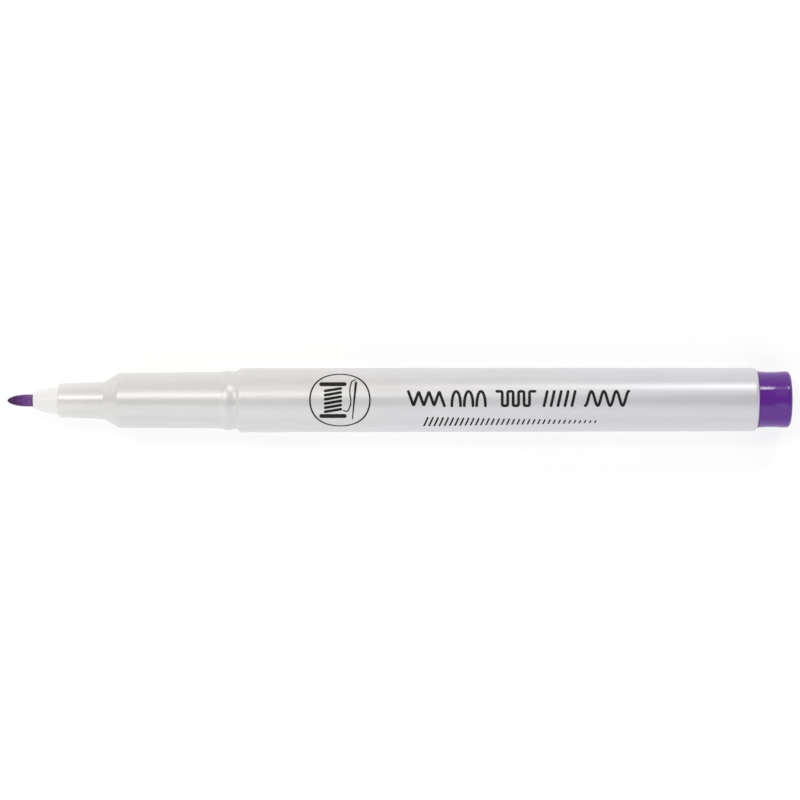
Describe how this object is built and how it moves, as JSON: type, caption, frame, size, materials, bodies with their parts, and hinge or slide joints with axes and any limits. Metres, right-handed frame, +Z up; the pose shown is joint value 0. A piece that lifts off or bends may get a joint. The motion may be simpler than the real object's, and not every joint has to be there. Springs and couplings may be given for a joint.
{
  "type": "fabric marking pen",
  "caption": "Fibre-tip fabric marking pen without its cap: pearl white stepped barrel, white nib holder, inked bullet nib and purple end plug, with the ink reservoir inside.",
  "frame": {"origin": "under the middle of the pen's length, on the surface that it lies on", "axes": "+X along the pen from the nib to the end plug, +Z up, +Y across"},
  "size_m": [0.1306, 0.0108, 0.0107],
  "materials": {
    "pearl_plastic": "pearl satin",
    "white_plastic": "satin",
    "inked_fibre": "bonded fibre, damp with ink",
    "soaked_filler": "felted fibre, soaked with ink",
    "clear_film": "clear film",
    "milky_plastic": "translucent straw",
    "purple_plastic": "glossy",
    "black_print": "pad-printed ink"
  },
  "bodies": {
    "barrel_assembly": {"barrel": "pearl_plastic", "ink_filler": "soaked_filler", "filler_sleeve": "clear_film", "breather_tube": "milky_plastic"},
    "holder": {"nib_holder": "white_plastic"},
    "nib_rod": {"nib": "inked_fibre"},
    "plug": {"end_plug": "purple_plastic"}
  },
  "joints": [
    {"name": "nib_holder_pull", "type": "slide", "parent": "barrel_assembly", "child": "holder", "axis": [-1, 0, 0], "range_m": [0, 0.009]},
    {"name": "nib_pull", "type": "slide", "parent": "holder", "child": "nib_rod", "axis": [-1, 0, 0], "range_m": [0, 0.026]},
    {"name": "end_plug_pull", "type": "slide", "parent": "barrel_assembly", "child": "plug", "axis": [1, 0, 0], "range_m": [0, 0.0085]}
  ]
}
